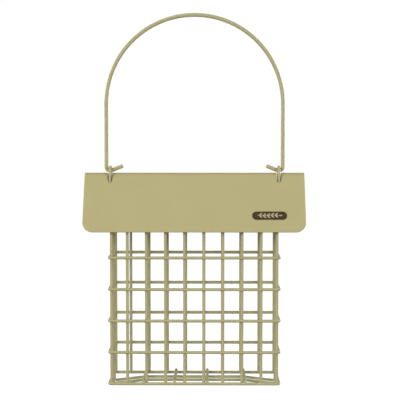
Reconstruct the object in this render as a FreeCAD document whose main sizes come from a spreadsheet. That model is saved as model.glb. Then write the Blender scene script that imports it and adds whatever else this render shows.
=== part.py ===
import FreeCAD, Part
import math
import os
import Sketcher

# Hanging bird feeder: a welded wire cage for a cake of bird food, a folded sheet roof that sits on the
# cage, a wire sling that carries the cage, and an arched handle hooked through the sling's two eyes.
# Millimetres. The origin is the inside top of the handle's arch, where the feeder hangs from a branch.
# +X runs along the ridge, -Y is the front, +Z is up.

os.makedirs("parts", exist_ok=True)
doc = FreeCAD.newDocument("HangingBirdFeeder")

# ---------------------------------------------------------------- driving dimensions
DRIVING = {
    # stock
    "cage_wire": 2.3,        # diameter of the cage and floor wire
    "sling_wire": 2.1,
    "bail_wire": 3.0,        # diameter of the handle wire
    "sheet": 0.8,            # thickness of the roof sheet
    # cage
    "corner_x": 63.0,        # middle to corner upright, along the ridge: a 5 inch cage
    "corner_y": 22.5,        # middle to corner upright, front to back
    "upright_pitch": 14.56,  # between the inner uprights
    "upright_count": 8,      # inner uprights on each long side
    "ring_pitch": 24.11,     # between the rings below the roof
    "top_pitch": 23.5,       # from the highest of those to the top ring, inside the roof
    "ring_count": 6,
    "ring_corner": 2.4,      # bend radius of a ring's corner, on its centreline
    "weld_sink": 0.5,        # depth to which two welded cage wires sink into each other
    "wire_end": 0.8,         # an upright's end, past the centre of its last ring
    "floor_tail": 1.2,       # a floor wire's end, past the centre of the back ring
    "floor_1_x": -38.7,      # the four floor wires, which are not evenly spread
    "floor_2_x": -15.0,
    "floor_3_x": 9.9,
    "floor_4_x": 38.7,
    # sling
    "sling_y": 6.5,          # middle to each of the sling's two runs
    "sling_sink": 0.2,       # depth to which the floor wires sink into the sling's runs
    "eye_x": 65.2,           # middle to each eye and to the hook in it
    "sling_dip": 2.9,        # the floor runs drop this much towards the ends
    "sling_flat": 38.0,      # middle to where the drop starts
    "sling_bend": 1.6,       # bend radius where the floor run turns up
    "lean_bend": 20.0,       # bend radius where a leg starts and stops leaning out
    # roof
    "roof_length": 169.8,
    "roof_height": 44.0,
    "roof_slope": 30.0,      # degrees between a roof face and the vertical
    "ridge_bend": 6.0,       # outer bend radius of the ridge
    "roof_corner": 8.2,      # radius of the roof's lower corners
    "slot_width": 3.6,
    # handle
    "leg": 48.9,             # straight length of a leg
    "hook_bend": 2.6,        # radius of the hook's bends, on their centreline
    "hook_flat": 1.1,        # straight length at the bottom of the hook, which turns in the eye
    "hook_rise": 22.0,       # degrees that a hook's free end rises
    "tip_x": 55.5,           # middle to the centre of a hook's tip
    "tip_round": 1.0,
    # badge
    "badge_length": 26.4,
    "badge_height": 6.8,
    "badge_sheet": 0.6,
    "badge_x": 57.3,         # middle to the badge's centre
    "badge_drop": 32.1,      # ridge top to the badge's centre
    # running gaps
    "eye_gap": 0.15,         # hook to the top of its eye
    "ridge_gap": 0.35,       # hook to the ridge below it
    "seat_gap": 0.3,         # roof to the top ring it sits on
    "slot_gap": 0.35,        # sling leg to the end of its slot
}

# Places that follow from the driving dimensions, as formulas on the sheet's cells.
RING_X = "(Sizes.corner_x + Sizes.cage_wire - Sizes.weld_sink)"
RING_Y = "(Sizes.corner_y + Sizes.cage_wire - Sizes.weld_sink)"
SLOPE_SIN = "sin(Sizes.roof_slope * 1 deg)"
SLOPE_COS = "cos(Sizes.roof_slope * 1 deg)"
ARCH_BEND = "(Sizes.eye_x + Sizes.hook_flat / 2 + Sizes.hook_bend)"
ARCH_Z = f"(Sizes.bail_wire / 2 - {ARCH_BEND})"
HOOK_Z = f"({ARCH_Z} - Sizes.leg)"
PIVOT_Z = f"({HOOK_Z} - Sizes.hook_bend)"
ROOF_Z = f"({PIVOT_Z} - Sizes.bail_wire / 2 - Sizes.ridge_gap)"
RIDGE_Z = f"({ROOF_Z} - Sizes.ridge_bend)"
EYE_TOP_Z = f"({PIVOT_Z} + Sizes.bail_wire / 2 + Sizes.eye_gap + Sizes.sling_wire / 2)"
SEAT = "(Sizes.ridge_bend - Sizes.sheet - Sizes.seat_gap - Sizes.cage_wire / 2)"
TOP_RING_Z = f"({RIDGE_Z} + ({SEAT} - {RING_Y} * {SLOPE_COS}) / {SLOPE_SIN})"
FLOOR_RING_Z = f"({TOP_RING_Z} - Sizes.top_pitch - (Sizes.ring_count - 2) * Sizes.ring_pitch)"
FLOOR_WIRE_Z = f"({FLOOR_RING_Z} + Sizes.cage_wire - Sizes.weld_sink)"
SLING_X = "(Sizes.corner_x + (Sizes.cage_wire - Sizes.sling_wire) / 2)"
SLING_Z = f"({FLOOR_WIRE_Z} - (Sizes.cage_wire + Sizes.sling_wire) / 2 + Sizes.sling_sink)"
SLOT_END = "(Sizes.sling_y + Sizes.sling_wire / 2 + Sizes.slot_gap)"
BADGE_Y = f"((Sizes.ridge_bend + (Sizes.badge_drop - Sizes.ridge_bend) * {SLOPE_SIN}) / {SLOPE_COS})"

sheet = doc.addObject("Spreadsheet::Sheet", "Sizes")
for row, (alias, value) in enumerate(DRIVING.items(), start=1):
    sheet.set(f"A{row}", alias)
    sheet.set(f"B{row}", str(value))
    sheet.setAlias(f"B{row}", alias)
doc.recompute()


def size(formula):
    """What a formula on the sheet's cells comes to, as a plain number."""
    value = sheet.evalExpression(formula)
    return float(getattr(value, "Value", value))


# ---------------------------------------------------------------- helpers
START, END, CENTRE = 1, 2, 3     # which point of a line or arc
ORIGIN = (-1, 1)                 # a sketch's own origin
ACROSS, UPWARD = -1, -2          # a sketch's own axes


def new_body(name):
    body = doc.addObject("PartDesign::Body", name)
    body.Label = name
    return body


def origin_plane(body, role):
    return next(plane for plane in body.Origin.OriginFeatures if plane.Role == role)


def new_sketch(body, name, role):
    """A sketch on one of the body's own origin planes."""
    sketch = body.newObject("Sketcher::SketchObject", name)
    sketch.AttachmentSupport = [(origin_plane(body, role), "")]
    sketch.MapMode = "FlatFace"
    return sketch


def add_line(sketch, start, end):
    return sketch.addGeometry(Part.LineSegment(FreeCAD.Vector(*start, 0), FreeCAD.Vector(*end, 0)))


def add_arc(sketch, centre, radius, first_deg, last_deg):
    """An arc drawn anticlockwise from its START to its END."""
    circle = Part.Circle(FreeCAD.Vector(*centre, 0), FreeCAD.Vector(0, 0, 1), radius)
    return sketch.addGeometry(Part.ArcOfCircle(circle, math.radians(first_deg), math.radians(last_deg)))


def tie(sketch, kind, *where):
    """Adds a constraint that has no size."""
    sketch.addConstraint(Sketcher.Constraint(kind, *where))


def bind(sketch, kind, *where, to):
    """Adds a constraint whose size is a formula on the sheet."""
    index = sketch.addConstraint(Sketcher.Constraint(kind, *where, size(to)))
    sketch.setExpression(f"Constraints[{index}]", to)


def place(sketch, geometry, point, across=None, up=None):
    """Holds a point at a distance from the sketch's origin, across and up."""
    for kind, formula in (("DistanceX", across), ("DistanceY", up)):
        if formula is None:
            continue
        if size(formula) >= 0:
            bind(sketch, kind, *ORIGIN, geometry, point, to=formula)
        else:
            bind(sketch, kind, geometry, point, *ORIGIN, to=f"-{formula}")


def mirror(body, name, feature, role):
    """Repeats a feature on the other side of an origin plane."""
    mirrored = body.newObject("PartDesign::Mirrored", name)
    mirrored.Originals = [feature]
    mirrored.MirrorPlane = (origin_plane(body, role), [""])
    body.Tip = mirrored
    return mirrored


def half_wire(body, path, wire, start_across, start_up):
    """Sweeps a round wire along half a path that starts at x = 0, and mirrors it."""
    profile = new_sketch(body, body.Name + "_section", "YZ_Plane")
    circle = Part.Circle(FreeCAD.Vector(0, 0, 0), FreeCAD.Vector(0, 0, 1), size(wire) / 2)
    section = profile.addGeometry(circle)
    bind(profile, "Diameter", section, to=wire)
    if start_across is None:
        tie(profile, "PointOnObject", section, CENTRE, UPWARD)
    if start_up is None:
        tie(profile, "PointOnObject", section, CENTRE, ACROSS)
    place(profile, section, CENTRE, across=start_across, up=start_up)
    pipe = body.newObject("PartDesign::AdditivePipe", body.Name + "_half")
    pipe.Profile = profile
    pipe.Spine = path
    doc.recompute()
    return mirror(body, body.Name + "_whole", pipe, "YZ_Plane")


# ---------------------------------------------------------------- cage
def make_upright(name, x_formula, y_formula):
    upright = doc.addObject("Part::Cylinder", name)
    upright.Label = name
    upright.setExpression("Radius", "Sizes.cage_wire / 2")
    upright.setExpression("Height", f"{TOP_RING_Z} - {FLOOR_RING_Z} + 2 * Sizes.wire_end")
    upright.setExpression("Placement.Base.x", x_formula)
    upright.setExpression("Placement.Base.y", y_formula)
    upright.setExpression("Placement.Base.z", f"{FLOOR_RING_Z} - Sizes.wire_end")
    return upright


def make_uprights():
    """Ten straight wires on each long side: two at the corners and eight between them."""
    inner = int(size("Sizes.upright_count"))
    across = ["-Sizes.corner_x"]
    across += [f"({i} - ({inner} - 1) / 2) * Sizes.upright_pitch" for i in range(inner)]
    across += ["Sizes.corner_x"]
    uprights = []
    for side, y_formula in (("front", "-Sizes.corner_y"), ("back", "Sizes.corner_y")):
        for number, x_formula in enumerate(across, start=1):
            uprights.append(make_upright(f"{side}_upright_{number}", x_formula, y_formula))
    return uprights


def make_ring(name, z_formula):
    """A closed wire around the outside of the uprights, with tight corners."""
    ring = new_body(name)
    path = new_sketch(ring, name + "_path", "XY_Plane")
    side, end, bend = size(RING_X), size(RING_Y), size("Sizes.ring_corner")
    front = add_line(path, (0, -end), (side - bend, -end))
    front_corner = add_arc(path, (side - bend, bend - end), bend, 270, 360)
    flank = add_line(path, (side, bend - end), (side, end - bend))
    back_corner = add_arc(path, (side - bend, end - bend), bend, 0, 90)
    back = add_line(path, (side - bend, end), (0, end))
    tie(path, "Horizontal", front)
    tie(path, "Vertical", flank)
    tie(path, "Horizontal", back)
    tie(path, "Tangent", front, END, front_corner, START)
    tie(path, "Tangent", front_corner, END, flank, START)
    tie(path, "Tangent", flank, END, back_corner, START)
    tie(path, "Tangent", back_corner, END, back, START)
    tie(path, "PointOnObject", front, START, UPWARD)
    tie(path, "PointOnObject", back, END, UPWARD)
    tie(path, "Equal", front_corner, back_corner)
    bind(path, "Radius", front_corner, to="Sizes.ring_corner")
    place(path, front, START, up=f"(-{RING_Y})")
    place(path, back, END, up=RING_Y)
    place(path, flank, START, across=RING_X)
    half_wire(ring, path, "Sizes.cage_wire", f"(-{RING_Y})", None)
    ring.setExpression("Placement.Base.z", z_formula)
    return ring


def make_rings():
    """The rings that show below the roof, evenly spread, and the top ring inside the roof."""
    count = int(size("Sizes.ring_count"))
    rings = [
        make_ring(f"ring_{i + 1}", f"{FLOOR_RING_Z} + {i} * Sizes.ring_pitch")
        for i in range(count - 1)
    ]
    return rings + [make_ring(f"ring_{count}", TOP_RING_Z)]


def make_floor_wires():
    """Wires from front to back on top of the lowest ring and the sling's floor runs."""
    wires = []
    for number in range(1, 5):
        wire = doc.addObject("Part::Cylinder", f"floor_wire_{number}")
        wire.Label = wire.Name
        wire.Placement = FreeCAD.Placement(
            FreeCAD.Vector(), FreeCAD.Rotation(FreeCAD.Vector(1, 0, 0), -90)
        )
        wire.setExpression("Radius", "Sizes.cage_wire / 2")
        wire.setExpression("Height", f"2 * {RING_Y} + Sizes.wire_end + Sizes.floor_tail")
        wire.setExpression("Placement.Base.x", f"Sizes.floor_{number}_x")
        wire.setExpression("Placement.Base.y", f"-{RING_Y} - Sizes.wire_end")
        wire.setExpression("Placement.Base.z", FLOOR_WIRE_Z)
        wires.append(wire)
    return wires


# ---------------------------------------------------------------- sling
def bent_path(corners, bends):
    """A path through the corners, with each inner corner rounded to its bend radius."""
    edges = []
    last = corners[0]
    for before, corner, after, bend in zip(corners, corners[1:], corners[2:], bends):
        to_before = (before - corner).normalize()
        to_after = (after - corner).normalize()
        half_turn = (math.pi - to_before.getAngle(to_after)) / 2
        to_centre = (to_before + to_after).normalize()
        centre = corner + to_centre * (bend / math.cos(half_turn))
        start = corner + to_before * (bend * math.tan(half_turn))
        end = corner + to_after * (bend * math.tan(half_turn))
        if last.distanceToPoint(start) > Part.Precision.confusion() * 10:
            edges.append(Part.makeLine(last, start))
        edges.append(Part.Arc(start, centre - to_centre * bend, end).toShape())
        last = end
    edges.append(Part.makeLine(last, corners[-1]))
    return Part.Wire(edges)


def make_sling():
    """One long loop of wire under the floor and up both ends, with an eye at the top of each end."""
    run_y = size("Sizes.sling_y")
    floor_z = size(SLING_Z)
    leg_x, eye_x = size(SLING_X), size("Sizes.eye_x")
    wire = size("Sizes.sling_wire")
    lean_start = size(TOP_RING_Z) + 1.5 * wire
    lean_end = size(EYE_TOP_Z) - 2 * run_y
    front = [
        (0, floor_z),
        (size("Sizes.sling_flat"), floor_z),
        (leg_x, floor_z - size("Sizes.sling_dip")),
        (leg_x, lean_start),
        (eye_x, lean_end),
        (eye_x, size(EYE_TOP_Z)),
    ]
    corners = [FreeCAD.Vector(x, -run_y, z) for x, z in front]
    corners += [FreeCAD.Vector(x, run_y, z) for x, z in reversed(front)]
    lean, turn = size("Sizes.lean_bend"), size("Sizes.sling_bend")
    bends = [lean, turn, lean, lean, run_y]
    path = bent_path(corners, bends + bends[::-1])
    section = Part.Wire(Part.makeCircle(wire / 2, corners[0], FreeCAD.Vector(1, 0, 0)))
    half = path.makePipeShell([section], True, False)
    other_half = half.mirror(FreeCAD.Vector(), FreeCAD.Vector(1, 0, 0))
    sling = doc.addObject("Part::Feature", "sling")
    sling.Label = "sling"
    sling.Shape = half.fuse(other_half)
    sling.Placement = FreeCAD.Placement()
    return sling


# ---------------------------------------------------------------- roof
def draw_roof_section(sketch):
    """Half of the folded sheet's section: a quarter of the ridge bend and one flat face."""
    slope = size("Sizes.roof_slope")
    outer, sheet_t = size("Sizes.ridge_bend"), size("Sizes.sheet")
    ridge_z, low_z = size(RIDGE_Z), size(ROOF_Z) - size("Sizes.roof_height")
    sin, cos = math.sin(math.radians(slope)), math.cos(math.radians(slope))
    fall = (ridge_z + outer * sin - low_z) / cos
    outer_top = (outer * cos, ridge_z + outer * sin)
    outer_low = (outer_top[0] + fall * sin, low_z)
    inner_low = (outer_low[0] - sheet_t * cos, low_z - sheet_t * sin)
    inner_top = ((outer - sheet_t) * cos, ridge_z + (outer - sheet_t) * sin)
    outer_bend = add_arc(sketch, (0, ridge_z), outer, slope, 90)
    outer_face = add_line(sketch, outer_low, outer_top)
    edge = add_line(sketch, outer_low, inner_low)
    inner_face = add_line(sketch, inner_low, inner_top)
    inner_bend = add_arc(sketch, (0, ridge_z), outer - sheet_t, slope, 90)
    middle = add_line(sketch, (0, ridge_z + outer - sheet_t), (0, ridge_z + outer))
    tie(sketch, "Tangent", outer_bend, START, outer_face, END)
    tie(sketch, "Tangent", inner_bend, START, inner_face, END)
    tie(sketch, "Coincident", outer_face, START, edge, START)
    tie(sketch, "Coincident", edge, END, inner_face, START)
    tie(sketch, "Perpendicular", outer_face, edge)
    tie(sketch, "Perpendicular", edge, inner_face)
    tie(sketch, "Coincident", outer_bend, CENTRE, inner_bend, CENTRE)
    tie(sketch, "PointOnObject", outer_bend, CENTRE, UPWARD)
    tie(sketch, "PointOnObject", outer_bend, END, UPWARD)
    tie(sketch, "PointOnObject", inner_bend, END, UPWARD)
    tie(sketch, "Coincident", middle, START, inner_bend, END)
    tie(sketch, "Coincident", middle, END, outer_bend, END)
    bind(sketch, "Radius", outer_bend, to="Sizes.ridge_bend")
    bind(sketch, "Distance", edge, to="Sizes.sheet")
    bind(sketch, "Angle", outer_face, to="90 deg + Sizes.roof_slope * 1 deg")
    place(sketch, outer_bend, CENTRE, up=RIDGE_Z)
    place(sketch, outer_face, START, up=f"({ROOF_Z} - Sizes.roof_height)")


def draw_slot(sketch, x_formula):
    """A round-ended slot across the ridge, as seen from above."""
    x, half_width, end = size(x_formula), size("Sizes.slot_width") / 2, size(SLOT_END)
    back = add_arc(sketch, (x, end - half_width), half_width, 0, 180)
    front = add_arc(sketch, (x, half_width - end), half_width, 180, 360)
    left = add_line(sketch, (x - half_width, end - half_width), (x - half_width, half_width - end))
    right = add_line(sketch, (x + half_width, half_width - end), (x + half_width, end - half_width))
    tie(sketch, "Tangent", back, END, left, START)
    tie(sketch, "Tangent", left, END, front, START)
    tie(sketch, "Tangent", front, END, right, START)
    tie(sketch, "Tangent", right, END, back, START)
    tie(sketch, "Vertical", left)
    tie(sketch, "Equal", back, front)
    bind(sketch, "Radius", back, to="Sizes.slot_width / 2")
    place(sketch, back, CENTRE, across=x_formula, up=f"({SLOT_END} - Sizes.slot_width / 2)")
    place(sketch, front, CENTRE, up=f"(Sizes.slot_width / 2 - {SLOT_END})")


def lower_corner_edges(shape):
    """The four short edges through the sheet at the roof's lower corners."""
    end_x = size("Sizes.roof_length / 2")
    low_z = size(ROOF_Z) - size("Sizes.roof_height") / 2
    names = []
    for number, edge in enumerate(shape.Edges, start=1):
        middle = edge.CenterOfMass
        at_end = abs(abs(middle.x) - end_x) < size("Sizes.sheet") / 2
        if at_end and middle.z < low_z and abs(edge.Length - size("Sizes.sheet")) < edge.Length / 4:
            names.append(f"Edge{number}")
    return names


def make_roof():
    roof = new_body("roof")
    section = new_sketch(roof, "roof_section", "YZ_Plane")
    draw_roof_section(section)
    face = roof.newObject("PartDesign::Pad", "roof_face")
    face.Profile = section
    face.SideType = "Symmetric"
    face.setExpression("Length", "Sizes.roof_length")
    doc.recompute()
    folded = mirror(roof, "roof_folded", face, "XZ_Plane")
    doc.recompute()
    corners = roof.newObject("PartDesign::Fillet", "roof_corners")
    corners.Base = (folded, lower_corner_edges(folded.Shape))
    corners.setExpression("Radius", "Sizes.roof_corner")
    doc.recompute()
    slots = new_sketch(roof, "roof_slot_outline", "XY_Plane")
    draw_slot(slots, "(-Sizes.eye_x)")
    draw_slot(slots, "Sizes.eye_x")
    cut = roof.newObject("PartDesign::Pocket", "roof_slots")
    cut.Profile = slots
    cut.Type = "ThroughAll"
    doc.recompute()
    if cut.Shape.Volume >= corners.Shape.Volume:
        raise RuntimeError("the roof's slots cut nothing")
    return roof


def make_badge():
    """A small blank pill-shaped plate on the front face of the roof."""
    badge = new_body("badge")
    outline = new_sketch(badge, "badge_outline", "XY_Plane")
    bend = size("Sizes.badge_height / 2")
    reach = size("Sizes.badge_length / 2") - bend
    right = add_arc(outline, (reach, 0), bend, -90, 90)
    left = add_arc(outline, (-reach, 0), bend, 90, 270)
    top = add_line(outline, (reach, bend), (-reach, bend))
    bottom = add_line(outline, (-reach, -bend), (reach, -bend))
    tie(outline, "Tangent", right, END, top, START)
    tie(outline, "Tangent", top, END, left, START)
    tie(outline, "Tangent", left, END, bottom, START)
    tie(outline, "Tangent", bottom, END, right, START)
    tie(outline, "Horizontal", top)
    tie(outline, "Equal", right, left)
    tie(outline, "PointOnObject", right, CENTRE, ACROSS)
    bind(outline, "Radius", right, to="Sizes.badge_height / 2")
    place(outline, right, CENTRE, across="(Sizes.badge_length / 2 - Sizes.badge_height / 2)")
    place(outline, left, CENTRE, across="(Sizes.badge_height / 2 - Sizes.badge_length / 2)")
    plate = badge.newObject("PartDesign::Pad", "badge_plate")
    plate.Profile = outline
    plate.setExpression("Length", "Sizes.badge_sheet")
    badge.Placement = FreeCAD.Placement(
        FreeCAD.Vector(), FreeCAD.Rotation(FreeCAD.Vector(1, 0, 0), 90 - size("Sizes.roof_slope"))
    )
    badge.setExpression("Placement.Rotation.Angle", "90 deg - Sizes.roof_slope * 1 deg")
    badge.setExpression("Placement.Base.x", "Sizes.badge_x")
    badge.setExpression("Placement.Base.y", f"-{BADGE_Y}")
    badge.setExpression("Placement.Base.z", f"{ROOF_Z} - Sizes.badge_drop")
    return badge


# ---------------------------------------------------------------- handle
def make_handle():
    """A round-topped arch of wire whose ends are bent inward and up as hooks."""
    handle = new_body("handle")
    path = new_sketch(handle, "handle_path", "XZ_Plane")
    arch_bend, arch_z = size(ARCH_BEND), size(ARCH_Z)
    hook_bend, hook_z = size("Sizes.hook_bend"), size(HOOK_Z)
    eye_x, half_flat = size("Sizes.eye_x"), size("Sizes.hook_flat") / 2
    rise, tip_x = size("Sizes.hook_rise"), size("Sizes.tip_x")
    outer_x, inner_x = eye_x + half_flat, eye_x - half_flat
    sin, cos = math.sin(math.radians(rise)), math.cos(math.radians(rise))
    bend_end = (inner_x - hook_bend * sin, hook_z - hook_bend * cos)
    tip = (tip_x, bend_end[1] + (bend_end[0] - tip_x) * sin / cos)
    arch = add_arc(path, (0, arch_z), arch_bend, 0, 90)
    leg = add_line(path, (arch_bend, arch_z), (arch_bend, hook_z))
    leg_bend = add_arc(path, (outer_x, hook_z), hook_bend, -90, 0)
    flat = add_line(path, (outer_x, hook_z - hook_bend), (inner_x, hook_z - hook_bend))
    tip_bend = add_arc(path, (inner_x, hook_z), hook_bend, -90 - rise, -90)
    free_end = add_line(path, bend_end, tip)
    tie(path, "PointOnObject", arch, CENTRE, UPWARD)
    tie(path, "PointOnObject", arch, END, UPWARD)
    tie(path, "Tangent", arch, START, leg, START)
    tie(path, "Vertical", leg)
    tie(path, "Tangent", leg, END, leg_bend, END)
    tie(path, "Tangent", leg_bend, START, flat, START)
    tie(path, "Horizontal", flat)
    tie(path, "Tangent", flat, END, tip_bend, END)
    tie(path, "Tangent", tip_bend, START, free_end, START)
    tie(path, "Equal", leg_bend, tip_bend)
    bind(path, "Radius", arch, to=ARCH_BEND)
    bind(path, "Radius", leg_bend, to="Sizes.hook_bend")
    bind(path, "Distance", leg, to="Sizes.leg")
    bind(path, "Distance", flat, to="Sizes.hook_flat")
    bind(path, "Angle", free_end, to="180 deg - Sizes.hook_rise * 1 deg")
    place(path, arch, CENTRE, up=ARCH_Z)
    place(path, free_end, END, across="Sizes.tip_x")
    whole = half_wire(handle, path, "Sizes.bail_wire", None, "Sizes.bail_wire / 2")
    doc.recompute()
    tip_centres = [FreeCAD.Vector(side * tip[0], 0, tip[1]) for side in (-1, 1)]
    tips = [
        f"Edge{number}"
        for number, edge in enumerate(whole.Shape.Edges, start=1)
        if edge.isClosed() and min(edge.CenterOfMass.distanceToPoint(c) for c in tip_centres) < half_flat
    ]
    rounding = handle.newObject("PartDesign::Fillet", "handle_tips")
    rounding.Base = (whole, tips)
    rounding.setExpression("Radius", "Sizes.tip_round")
    return handle


# ---------------------------------------------------------------- build, check and write
subparts = make_uprights() + make_rings() + make_floor_wires()
subparts += [make_sling(), make_roof(), make_badge(), make_handle()]
doc.recompute()

for item in doc.Objects:
    if "Invalid" in item.State or "Error" in item.State:
        raise RuntimeError(f"{item.Label} did not compute: {item.State}")

for subpart in subparts:
    shape = subpart.Shape
    if shape.isNull() or not shape.isValid() or len(shape.Solids) != 1:
        raise RuntimeError(f"{subpart.Label} is not one valid solid")
    shape.exportStep(f"parts/{subpart.Label}.step")
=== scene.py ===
"""Looks of a hanging bird feeder.

A welded wire cage hangs under a folded steel roof, from a sprung wire handle. Everything is in
metres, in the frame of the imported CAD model, apart from values whose comment says otherwise.
"""

import math
import random

import bmesh
import bpy
from mathutils import Matrix, Vector
from mathutils.bvhtree import BVHTree


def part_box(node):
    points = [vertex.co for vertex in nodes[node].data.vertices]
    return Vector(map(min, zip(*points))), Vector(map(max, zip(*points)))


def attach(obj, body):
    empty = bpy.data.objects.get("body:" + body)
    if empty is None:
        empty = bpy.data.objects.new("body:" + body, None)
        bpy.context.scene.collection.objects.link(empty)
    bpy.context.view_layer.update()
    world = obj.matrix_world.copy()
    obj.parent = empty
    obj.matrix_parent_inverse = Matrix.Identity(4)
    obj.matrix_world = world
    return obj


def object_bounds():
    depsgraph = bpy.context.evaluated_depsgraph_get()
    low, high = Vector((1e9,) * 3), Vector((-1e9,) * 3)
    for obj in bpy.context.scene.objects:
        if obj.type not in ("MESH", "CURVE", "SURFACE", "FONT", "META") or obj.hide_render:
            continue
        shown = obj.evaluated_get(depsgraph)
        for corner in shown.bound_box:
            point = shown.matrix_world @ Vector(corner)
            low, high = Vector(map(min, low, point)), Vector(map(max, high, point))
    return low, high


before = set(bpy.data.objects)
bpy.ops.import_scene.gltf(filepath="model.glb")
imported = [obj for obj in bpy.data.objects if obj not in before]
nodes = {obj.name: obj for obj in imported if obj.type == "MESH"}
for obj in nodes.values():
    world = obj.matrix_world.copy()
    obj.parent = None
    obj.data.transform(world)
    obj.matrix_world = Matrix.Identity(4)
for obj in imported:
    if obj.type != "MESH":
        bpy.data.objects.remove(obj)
cad_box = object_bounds()
scene = bpy.context.scene
MM = 0.001


# ---------------------------------------------------------------- camera

VIEW_FROM = Vector((12.25, -1000.0, -89.88)) * MM
VIEW_AT = Vector((4.25, 0.0, -141.43)) * MM
LENS = 116.02  # the camera's own millimetres, like the sensor's width
SENSOR = 36.0
NEAR, FAR = 0.02, 50.0

camera_data = bpy.data.cameras.new("photo_camera")
camera_data.lens = LENS
camera_data.sensor_width = SENSOR
camera_data.clip_start = NEAR
camera_data.clip_end = FAR
camera = bpy.data.objects.new("photo_camera", camera_data)
camera.location = VIEW_FROM
camera.rotation_euler = (VIEW_AT - VIEW_FROM).to_track_quat("-Z", "Y").to_euler()
scene.collection.objects.link(camera)
scene.camera = camera


# ---------------------------------------------------------------- node helpers


def new_material(name):
    """A node material with its tree, its Principled shader and the object's own coordinates."""
    material = bpy.data.materials.new(name)
    material.use_nodes = True
    tree = material.node_tree
    tree.nodes.clear()
    output = tree.nodes.new("ShaderNodeOutputMaterial")
    shader = tree.nodes.new("ShaderNodeBsdfPrincipled")
    tree.links.new(shader.outputs["BSDF"], output.inputs["Surface"])
    place = tree.nodes.new("ShaderNodeTexCoord").outputs["Object"]
    return material, tree, shader, place


def noise(tree, place, scale, detail, roughness=0.5):
    """The value of a noise whose grains are 1 / scale metres across."""
    node = tree.nodes.new("ShaderNodeTexNoise")
    node.inputs["Scale"].default_value = scale
    node.inputs["Detail"].default_value = detail
    node.inputs["Roughness"].default_value = roughness
    tree.links.new(place, node.inputs["Vector"])
    return node.outputs["Fac"]


def stretched(tree, place, factors):
    """The coordinates scaled by three factors, for a grain that runs in one direction."""
    node = tree.nodes.new("ShaderNodeMapping")
    node.inputs["Scale"].default_value = factors
    tree.links.new(place, node.inputs["Vector"])
    return node.outputs["Vector"]


def ranged(tree, value, low_in, high_in, low_out, high_out):
    """A value carried from one range to another and held inside it."""
    node = tree.nodes.new("ShaderNodeMapRange")
    node.inputs["From Min"].default_value = low_in
    node.inputs["From Max"].default_value = high_in
    node.inputs["To Min"].default_value = low_out
    node.inputs["To Max"].default_value = high_out
    tree.links.new(value, node.inputs["Value"])
    return node.outputs["Result"]


def mixed(tree, share, first, second):
    """Two colours, each fixed or linked, blended by a share that varies over the surface."""
    node = tree.nodes.new("ShaderNodeMix")
    node.data_type = "RGBA"
    tree.links.new(share, node.inputs["Factor"])
    for socket, colour in ((node.inputs[6], first), (node.inputs[7], second)):
        if isinstance(colour, bpy.types.NodeSocket):
            tree.links.new(colour, socket)
        else:
            socket.default_value = (*colour, 1.0)
    return node.outputs[2]


def bump(tree, height, distance, strength, under=None):
    """A bump made from a height, over another bump where one is given."""
    node = tree.nodes.new("ShaderNodeBump")
    node.inputs["Strength"].default_value = strength
    node.inputs["Distance"].default_value = distance
    tree.links.new(height, node.inputs["Height"])
    if under is not None:
        tree.links.new(under, node.inputs["Normal"])
    return node.outputs["Normal"]


def painted_corner_shade(tree, distance, strength):
    """Painted shade in corners: from strength in a tight corner between two surfaces to 0 on open
    ground.
    """
    node = tree.nodes.new("ShaderNodeAmbientOcclusion")
    node.samples = 6
    node.inputs["Distance"].default_value = distance
    return ranged(tree, node.outputs["AO"], 0.20, 0.80, strength, 0.0)


# ---------------------------------------------------------------- materials

# How fine each pattern is, in grains per metre
CLOUDS = 48.0
SMEARS = 130.0
RUBBED_PATCHES = 210.0
COARSE_PEEL = 520.0
BRUSHED_GRAIN = 620.0
FLECKS = 1150.0
FINE_PEEL = 1700.0

# The depth of the bumps, and the reach and strength of the painted shade in corners and between
# wires
PEEL_DEPTH = 0.03 * MM
GRAIN_DEPTH = 0.03 * MM
CREVICE_REACH = 1.6 * MM
CREVICE_SHADE = 0.12

# How strongly each surface reflects, where 0.5 is Blender's usual amount
COAT_SPECULAR = 0.42
LACQUER_SPECULAR = 0.25


def powder_coat(name, thin, thick, shade, gloss):
    """Baked powder coat on steel: orange peel, cloudy thickness, fine flecks and painted shade in
    its corners.

    thin and thick are its tones where it is thinner and thicker, shade the tone of its flecks and
    of the painted shade in its corners, and gloss the range of its roughness.
    """
    material, tree, shader, place = new_material(name)
    clouds = ranged(tree, noise(tree, place, CLOUDS, 3.0, 0.55), 0.32, 0.68, 0.0, 1.0)
    tone = mixed(tree, clouds, thin, thick)
    flecks = ranged(tree, noise(tree, place, FLECKS, 2.0), 0.68, 0.78, 0.0, 0.10)
    tone = mixed(tree, flecks, tone, shade)
    # Painted shade: the coat darkens towards the shade tone in tight corners and between wires.
    tone = mixed(tree, painted_corner_shade(tree, CREVICE_REACH, CREVICE_SHADE), tone, shade)
    tree.links.new(tone, shader.inputs["Base Color"])
    smears = ranged(tree, noise(tree, place, SMEARS, 3.0), 0.3, 0.7, *gloss)
    tree.links.new(smears, shader.inputs["Roughness"])
    coarse = bump(tree, noise(tree, place, COARSE_PEEL, 2.0), PEEL_DEPTH * 1.6, 0.5)
    fine = bump(tree, noise(tree, place, FINE_PEEL, 2.0, 0.6), PEEL_DEPTH, 0.6, coarse)
    tree.links.new(fine, shader.inputs["Normal"])
    shader.inputs["Specular IOR Level"].default_value = COAT_SPECULAR
    return material


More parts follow.
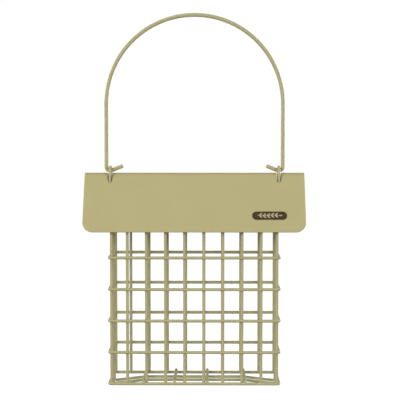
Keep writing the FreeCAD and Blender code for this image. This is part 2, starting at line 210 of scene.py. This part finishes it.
def printed_plate(name, colour, worn, gloss):
    """A small lacquered plate: fine brushed grain under its lacquer, and a few rubbed patches."""
    material, tree, shader, place = new_material(name)
    grain = noise(tree, stretched(tree, place, (1.0, 9.0, 9.0)), BRUSHED_GRAIN, 3.0)
    rubbed = ranged(tree, noise(tree, place, RUBBED_PATCHES, 4.0, 0.6), 0.45, 0.75, 0.0, 0.55)
    tone = mixed(tree, rubbed, colour, worn)
    tone = mixed(tree, ranged(tree, grain, 0.4, 0.7, 0.0, 0.3), tone, worn)
    tree.links.new(tone, shader.inputs["Base Color"])
    tree.links.new(ranged(tree, grain, 0.3, 0.7, *gloss), shader.inputs["Roughness"])
    tree.links.new(bump(tree, grain, GRAIN_DEPTH, 0.5), shader.inputs["Normal"])
    shader.inputs["Specular IOR Level"].default_value = LACQUER_SPECULAR
    return material


CAGE_COAT = powder_coat(
    "cage_coat_look",
    thin=(0.459, 0.430, 0.222),
    thick=(0.480, 0.450, 0.239),
    shade=(0.20, 0.18, 0.08),
    gloss=(0.44, 0.54),
)
ROOF_COAT = powder_coat(
    "roof_coat_look",
    thin=(0.474, 0.420, 0.199),
    thick=(0.486, 0.432, 0.207),
    shade=(0.25, 0.21, 0.10),
    gloss=(0.46, 0.54),
)
HANDLE_COAT = powder_coat(
    "handle_coat_look",
    thin=(0.450, 0.416, 0.209),
    thick=(0.468, 0.432, 0.224),
    shade=(0.20, 0.18, 0.08),
    gloss=(0.42, 0.52),
)
PLATE_DARK = printed_plate(
    "badge_ground_look",
    colour=(0.055, 0.035, 0.009),
    worn=(0.078, 0.052, 0.017),
    gloss=(0.40, 0.52),
)
PLATE_TAN = printed_plate(
    "badge_relief_look",
    colour=(0.60, 0.475, 0.30),
    worn=(0.52, 0.40, 0.235),
    gloss=(0.36, 0.50),
)


# ---------------------------------------------------------------- CAD nodes

# The widths of rounded rims, and how sharp an edge has to be, in degrees, to be rounded
SHEET_RIM = 0.18 * MM
BADGE_RIM = 0.16 * MM
WIRE_END_RIM = 0.30 * MM
SHEET_EDGE_ANGLE = 40.0
WIRE_EDGE_ANGLE = 50.0

# Points this close are one point, and faces this close to one plane, in degrees, are one face
SAME_POINT = 0.002 * MM
FLAT_ANGLE = 0.3


def round_edges(node, width, angle):
    """Rounds the edges of a CAD node that are sharper than an angle in degrees.

    Each flat face is made whole first, or the bevel leaves creases along its triangles.
    """
    flat = node.modifiers.new("whole_flat_faces", "DECIMATE")
    flat.decimate_type = "DISSOLVE"
    flat.angle_limit = math.radians(FLAT_ANGLE)
    flat.delimit = set()
    edge = node.modifiers.new("rounded_edges", "BEVEL")
    edge.width = width
    edge.segments = 3
    edge.limit_method = "ANGLE"
    edge.angle_limit = math.radians(angle)
    edge.use_clamp_overlap = True


def finish_node(node, material, rim=None):
    """Gives a CAD node its material, and where rim gives a width and an angle, rounded edges."""
    node.data.materials.clear()
    node.data.materials.append(material)
    weld = node.modifiers.new("join_split_points", "WELD")
    weld.merge_threshold = SAME_POINT
    if rim:
        round_edges(node, *rim)
    normals = node.modifiers.new("even_shading", "WEIGHTED_NORMAL")
    normals.mode = "FACE_AREA"
    normals.weight = 50


for name, node in nodes.items():
    if name == "handle":
        finish_node(node, HANDLE_COAT)
    elif name == "roof":
        finish_node(node, ROOF_COAT, (SHEET_RIM, SHEET_EDGE_ANGLE))
    elif name == "badge":
        finish_node(node, PLATE_DARK, (BADGE_RIM, SHEET_EDGE_ANGLE))
    elif "upright" in name or "floor_wire" in name:
        finish_node(node, CAGE_COAT, (WIRE_END_RIM, WIRE_EDGE_ANGLE))
    else:
        finish_node(node, CAGE_COAT)


# ---------------------------------------------------------------- mesh helpers


def new_piece(name, mesh, material, body):
    """A mesh, closed into an object with a material, that moves with a body."""
    data = bpy.data.meshes.new(name)
    bmesh.ops.recalc_face_normals(mesh, faces=mesh.faces)
    mesh.to_mesh(data)
    mesh.free()
    data.shade_smooth()
    data.materials.append(material)
    piece = bpy.data.objects.new(name, data)
    scene.collection.objects.link(piece)
    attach(piece, body)


def centre(name):
    """The middle of a CAD node's box."""
    low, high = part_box(name)
    return (low + high) / 2


def add_tube(mesh, points, radii, sides, closed=False):
    """A round tube through the points, with a radius at each, capped where it isn't closed."""
    rings = []
    count = len(points)
    for i, point in enumerate(points):
        before = points[i - 1] if closed or i > 0 else points[i]
        after = points[(i + 1) % count] if closed or i < count - 1 else points[i]
        along = (after - before).normalized()
        side = along.cross(Vector((0, 0, 1)))
        if side.length < 1e-3:
            side = along.cross(Vector((0, 1, 0)))
        side.normalize()
        up = side.cross(along).normalized()
        ring = []
        for k in range(sides):
            turn = 2 * math.pi * k / sides
            around = side * math.cos(turn) + up * math.sin(turn)
            ring.append(mesh.verts.new(point + around * radii[i]))
        rings.append(ring)
    joins = count if closed else count - 1
    for i in range(joins):
        first, second = rings[i], rings[(i + 1) % count]
        for k in range(sides):
            n = (k + 1) % sides
            mesh.faces.new((first[k], first[n], second[n], second[k]))
    if not closed:
        mesh.faces.new(rings[0][::-1])
        mesh.faces.new(rings[-1])


def arc(radius, start, end, steps):
    """The points of an arc about the origin, with both its ends."""
    turns = [start + (end - start) * k / steps for k in range(steps + 1)]
    return [(radius * math.cos(turn), radius * math.sin(turn)) for turn in turns]


def closed_plan(half):
    """A half outline, and the same turned by half a turn, which closes it."""
    return half + [(-x, -y) for x, y in half]


# ---------------------------------------------------------------- welds

# The radii of the cage's wires and of the sling's, and where their centre lines run
first_low, first_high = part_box("front_upright_1")
WIRE = (first_high.x - first_low.x) / 2
SLING_WIRE = 1.05 * MM
sling_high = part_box("sling")[1]
RUN_Y = sling_high.y - SLING_WIRE
ring_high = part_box("ring_1")[1]
RING_SIDE = ring_high.x - WIRE
RING_FRONT = ring_high.y - WIRE
RING_HEIGHTS = [centre(f"ring_{i}").z for i in range(1, 7)]

# Half a weld nugget's width and thickness, and how far each may differ from that
NUGGET_WIDTH = 1.14 * MM
NUGGET_THICKNESS = 0.60 * MM
WIDTH_SPREAD = (0.94, 1.08)
THICKNESS_SPREAD = (0.9, 1.1)

# A butt weld's shift along the ring, half length and swelling, in millimetres, and how far its
# ends are sunk into the wire
BUTT_SHIFT = 2.4
BUTT_HALF = (0.9, 1.2)
BUTT_SWELL = (0.12, 0.19)
BUTT_SUNK = 0.02 * MM
BUTT_STEPS = 12

rng = random.Random(11)


def add_nugget(mesh, point, normal):
    """A squeezed-out weld nugget between two wires: wide along them and thin between them."""
    turn = normal.to_track_quat("Z", "Y").to_matrix().to_4x4()
    spin = Matrix.Rotation(rng.uniform(0, math.tau), 4, "Z")
    wide = NUGGET_WIDTH * rng.uniform(*WIDTH_SPREAD)
    long = NUGGET_WIDTH * rng.uniform(*WIDTH_SPREAD)
    thick = NUGGET_THICKNESS * rng.uniform(*THICKNESS_SPREAD)
    size = Matrix.Diagonal((wide, long, thick, 1.0))
    # The third draw is spare, but without it every later nugget would change.
    lumps = [rng.uniform(0, math.tau) for _ in range(3)]
    verts = bmesh.ops.create_icosphere(mesh, subdivisions=3, radius=1.0)["verts"]
    for vert in verts:
        around = math.atan2(vert.co.y, vert.co.x)
        two_lobes = 0.05 * math.sin(2 * around + lumps[0])
        five_lobes = 0.03 * math.sin(5 * around + lumps[1])
        vert.co *= 1 + two_lobes + five_lobes
    placed = Matrix.Translation(point) @ turn @ spin @ size
    bmesh.ops.transform(mesh, matrix=placed, verts=verts)


def upright_welds(side):
    """The welds of one face of the cage: each upright on each ring, the end ones in its corner."""
    mesh = bmesh.new()
    outward = -1 if side == "front" else 1
    for i in range(1, 11):
        place = centre(f"{side}_upright_{i}")
        normal = Vector((0, outward, 0))
        if i in (1, 10):
            normal = Vector((math.copysign(1, place.x), outward, 0)).normalized()
        for height in RING_HEIGHTS:
            point = Vector((place.x, place.y, height)) + normal * WIRE
            add_nugget(mesh, point, normal)
    new_piece(f"{side}_welds", mesh, CAGE_COAT, "cage")


def sling_welds():
    """The welds of the sling's legs against the ring sides."""
    mesh = bmesh.new()
    for side in (-1, 1):
        for y in (-RUN_Y, RUN_Y):
            for height in RING_HEIGHTS:
                point = Vector((side * (RING_SIDE - WIRE), y, height))
                add_nugget(mesh, point, Vector((side, 0, 0)))
    new_piece("sling_welds", mesh, CAGE_COAT, "cage")


def floor_welds():
    """The welds of the floor wires on the bottom ring and on the sling's two runs."""
    mesh = bmesh.new()
    for i in range(1, 5):
        place = centre(f"floor_wire_{i}")
        for y in (-RING_FRONT, RING_FRONT, -RUN_Y, RUN_Y):
            add_nugget(mesh, Vector((place.x, y, place.z - WIRE)), Vector((0, 0, -1)))
    new_piece("floor_welds", mesh, CAGE_COAT, "cage")


def ring_joints():
    """The butt weld that closes each ring, at the back between two uprights: a short swelling."""
    mesh = bmesh.new()
    x = (centre("back_upright_7").x + centre("back_upright_8").x) / 2
    for height in RING_HEIGHTS:
        shift = rng.uniform(-BUTT_SHIFT, BUTT_SHIFT) * MM
        half = rng.uniform(*BUTT_HALF) * MM
        swell = rng.uniform(*BUTT_SWELL) * MM
        points = []
        radii = []
        for k in range(BUTT_STEPS + 1):
            share = 2 * k / BUTT_STEPS - 1
            points.append(Vector((x + shift + share * half, RING_FRONT, height)))
            proud = (swell + BUTT_SUNK) * math.cos(share * math.pi / 2) ** 1.5
            radii.append(WIRE - BUTT_SUNK + proud)
        add_tube(mesh, points, radii, 32)
    new_piece("ring_joints", mesh, CAGE_COAT, "cage")


upright_welds("front")
upright_welds("back")
sling_welds()
floor_welds()
ring_joints()


# ---------------------------------------------------------------- roof slots

# The slots' size in plan, and the bead round them
SLOT_HALF_WIDTH = 1.8 * MM
SLOT_HALF_LENGTH = 7.9 * MM
LIP_BEAD = 0.10 * MM
LIP_SIDE_STEPS = 24
LIP_END_STEPS = 16

roof_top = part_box("roof")[1].z
roof_mesh = nodes["roof"].data
roof_tree = BVHTree.FromPolygons(
    [vert.co.copy() for vert in roof_mesh.vertices],
    [tuple(face.vertices) for face in roof_mesh.polygons],
)


def roof_height(x, y):
    """The height of the roof's outside over a point, or None where there is no sheet."""
    above = Vector((x, y, roof_top + 10 * MM))
    hit = roof_tree.ray_cast(above, Vector((0, 0, -1)))[0]
    return None if hit is None else hit.z


def slot_lip(side):
    """The rolled lip that the punch leaves: a fine bead on the sheet, all round a slot's edge."""
    eye_x = side * (sling_high.x - SLING_WIRE)
    out = SLOT_HALF_WIDTH + LIP_BEAD * 0.9
    straight = SLOT_HALF_LENGTH - SLOT_HALF_WIDTH
    half_plan = []
    for k in range(LIP_SIDE_STEPS + 1):
        half_plan.append((out, -straight + 2 * straight * k / LIP_SIDE_STEPS))
    for x, y in arc(out, 0.0, math.pi, LIP_END_STEPS)[1:-1]:
        half_plan.append((x, straight + y))
    points = []
    for x, y in closed_plan(half_plan):
        height = roof_height(eye_x + x, y)
        if height is not None:
            points.append(Vector((eye_x + x, y, height)))
    mesh = bmesh.new()
    add_tube(mesh, points, [LIP_BEAD] * len(points), 10, closed=True)
    label = "left" if side < 0 else "right"
    new_piece(f"slot_lip_{label}", mesh, ROOF_COAT, "roof")


slot_lip(-1)
slot_lip(1)


# ---------------------------------------------------------------- badge relief

# Places and sizes on the badge's face are in millimetres
ROOF_SLOPE = math.radians(30)
BADGE_HALF_THICKNESS = 0.3
BADGE_HALF_HEIGHT = 3.4
RIM_INSET = 0.62
RIM_LINE = 0.11
RIM_PROUD = 0.02
STEM_START = -9.4
STEM_LENGTH = 16.4
STEM_LINE = 0.24
STEM_PROUD = 0.05
STEM_WAVE = 0.25
STEM_WAVE_TURN = 0.45
STEM_STEPS = 24
PAIRS = 5
FIRST_PAIR = -8.0
PAIR_STEP = 3.0
LEAF_ANGLE = math.radians(38)
LEAF_LENGTH = 3.4
LEAF_WIDTH = 1.5
TIP_LEAF = 7.0
TIP_LEAF_LENGTH = 3.2
LEAF_STEPS = 9
LEAF_CROWN = 0.16
LEAF_END = 0.03

badge_low, badge_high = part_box("badge")
badge_up = Vector((0, math.sin(ROOF_SLOPE), math.cos(ROOF_SLOPE)))
badge_out = Vector((0, -math.cos(ROOF_SLOPE), math.sin(ROOF_SLOPE)))
badge_face = centre("badge") + badge_out * BADGE_HALF_THICKNESS * MM
badge_half_length = (badge_high.x - badge_low.x) / 2 / MM


def on_badge(u, v, w):
    """A point on the badge's face: u along it, v up it and w proud of it."""
    return badge_face + (Vector((1, 0, 0)) * u + badge_up * v + badge_out * w) * MM


def badge_rim():
    """A fine raised line just inside the badge's edge."""
    straight = badge_half_length - BADGE_HALF_HEIGHT
    bend = arc(BADGE_HALF_HEIGHT - RIM_INSET, -math.pi / 2, math.pi / 2, 16)
    plan = closed_plan([(straight + u, v) for u, v in bend])
    points = [on_badge(u, v, RIM_PROUD) for u, v in plan]
    mesh = bmesh.new()
    add_tube(mesh, points, [RIM_LINE * MM] * len(points), 8, closed=True)
    new_piece("badge_rim", mesh, PLATE_DARK, "roof")


def stem_at(u):
    """How far up the badge the wavy stem is, a way along it."""
    return STEM_WAVE * math.sin(u * STEM_WAVE_TURN)


def add_leaf(mesh, base, turn, length):
    """A pointed leaf on the badge, crowned along its middle."""
    along = Vector((math.cos(turn), math.sin(turn)))
    across = Vector((-along.y, along.x))
    left, right, top = [], [], []
    for k in range(1, LEAF_STEPS):
        share = k / LEAF_STEPS
        half = LEAF_WIDTH / 2 * math.sin(math.pi * share ** 0.85)
        middle = Vector(base) + along * length * share
        for edge, offset, proud in ((left, half, 0.0), (right, -half, 0.0), (top, 0.0, LEAF_CROWN)):
            spot = middle + across * offset
            edge.append(mesh.verts.new(on_badge(spot.x, spot.y, proud)))
    tail = mesh.verts.new(on_badge(*base, LEAF_END))
    end = Vector(base) + along * length
    tip = mesh.verts.new(on_badge(end.x, end.y, LEAF_END))
    for first, second in ((left, top), (top, right), (right, left)):
        for k in range(LEAF_STEPS - 2):
            mesh.faces.new((first[k], second[k], second[k + 1], first[k + 1]))
        mesh.faces.new((tail, second[0], first[0]))
        mesh.faces.new((tip, first[-1], second[-1]))


def badge_sprig():
    """A plain sprig along the badge: one stem with pairs of leaves and one at its tip."""
    mesh = bmesh.new()
    stem = []
    for k in range(STEM_STEPS + 1):
        u = STEM_START + STEM_LENGTH * k / STEM_STEPS
        stem.append(on_badge(u, stem_at(u), STEM_PROUD))
    add_tube(mesh, stem, [STEM_LINE * MM] * len(stem), 8)
    for k in range(PAIRS):
        u = FIRST_PAIR + PAIR_STEP * k
        for way in (-1, 1):
            add_leaf(mesh, (u, stem_at(u)), way * LEAF_ANGLE, LEAF_LENGTH)
    add_leaf(mesh, (TIP_LEAF, stem_at(TIP_LEAF)), 0.0, TIP_LEAF_LENGTH)
    new_piece("badge_sprig", mesh, PLATE_TAN, "roof")


badge_rim()
badge_sprig()


# ---------------------------------------------------------------- floor, world and lights

# The floor glows pure white and the world behind it is just as white, so that thin wires
# keep their width against them. Neither lights the feeder: that is the ambient light's and
# the area lights' work.
FLOOR_DROP = 0.12
FLOOR_HALF = 8.0
FLOOR_GRAIN = 9.0
FLOOR_TONES = ((0.07, 0.07, 0.07), (0.09, 0.09, 0.09))
WHITE = (1.0, 1.0, 1.0, 1.0)
SEEN_STRENGTH = 1.01
AMBIENT = 0.21

# Each light's place, its width and height, and its power in watts
LIGHTS = {
    "key": ((-1.25, -1.35, 0.36), (1.0, 0.50), 18.0),
    "fill": ((1.25, -1.35, 0.28), (1.0, 0.50), 12.2),
    "low": ((0.0, -1.70, -0.75), (1.6, 0.70), 3.2),
    "top": ((0.0, -0.40, 1.50), (1.4, 1.0), 6.0),
    "back_left": ((-1.35, 0.95, 0.20), (0.9, 0.60), 16.0),
    "back_right": ((1.35, 0.95, 0.20), (0.9, 0.60), 16.0),
}


def studio_floor():
    """A plain white floor below the feeder, seen by the camera only."""
    mesh = bmesh.new()
    bmesh.ops.create_grid(mesh, x_segments=1, y_segments=1, size=FLOOR_HALF)
    data = bpy.data.meshes.new("studio_floor")
    mesh.to_mesh(data)
    mesh.free()
    material, tree, shader, place = new_material("studio_floor_look")
    tone = mixed(tree, noise(tree, place, FLOOR_GRAIN, 2.0), *FLOOR_TONES)
    tree.links.new(tone, shader.inputs["Base Color"])
    shader.inputs["Roughness"].default_value = 0.9
    shader.inputs["Specular IOR Level"].default_value = 0.0
    shader.inputs["Emission Color"].default_value = WHITE
    shader.inputs["Emission Strength"].default_value = 1.0
    data.materials.append(material)
    floor = bpy.data.objects.new("studio_floor", data)
    floor.location = (0, 0, cad_box[0].z - FLOOR_DROP)
    floor.visible_diffuse = False
    floor.visible_glossy = False
    floor.visible_shadow = False
    scene.collection.objects.link(floor)


def background(tree, strength):
    """A plain white world of a strength."""
    node = tree.nodes.new("ShaderNodeBackground")
    node.inputs["Color"].default_value = WHITE
    node.inputs["Strength"].default_value = strength
    return node.outputs["Background"]


def studio_world():
    """A world that the camera sees as white and that lights the feeder only softly."""
    world = bpy.data.worlds.new("studio")
    world.use_nodes = True
    scene.world = world
    tree = world.node_tree
    tree.nodes.clear()
    path = tree.nodes.new("ShaderNodeLightPath")
    choose = tree.nodes.new("ShaderNodeMixShader")
    output = tree.nodes.new("ShaderNodeOutputWorld")
    tree.links.new(path.outputs["Is Camera Ray"], choose.inputs["Fac"])
    tree.links.new(background(tree, AMBIENT), choose.inputs[1])
    tree.links.new(background(tree, SEEN_STRENGTH), choose.inputs[2])
    tree.links.new(choose.outputs["Shader"], output.inputs["Surface"])


def area_light(name, place, aim, size, power):
    """A soft light of a width and height at a place, turned to the point that it lights."""
    data = bpy.data.lights.new(name, "AREA")
    data.shape = "RECTANGLE"
    data.size, data.size_y = size
    data.energy = power
    light = bpy.data.objects.new(name, data)
    light.location = place
    light.rotation_euler = (aim - light.location).to_track_quat("-Z", "Y").to_euler()
    light.visible_camera = False
    scene.collection.objects.link(light)


studio_floor()
studio_world()
feeder_middle = (cad_box[0] + cad_box[1]) / 2
for name, (place, size, power) in LIGHTS.items():
    area_light(name, place, feeder_middle, size, power)

scene.view_settings.view_transform = "Standard"
scene.view_settings.look = "None"
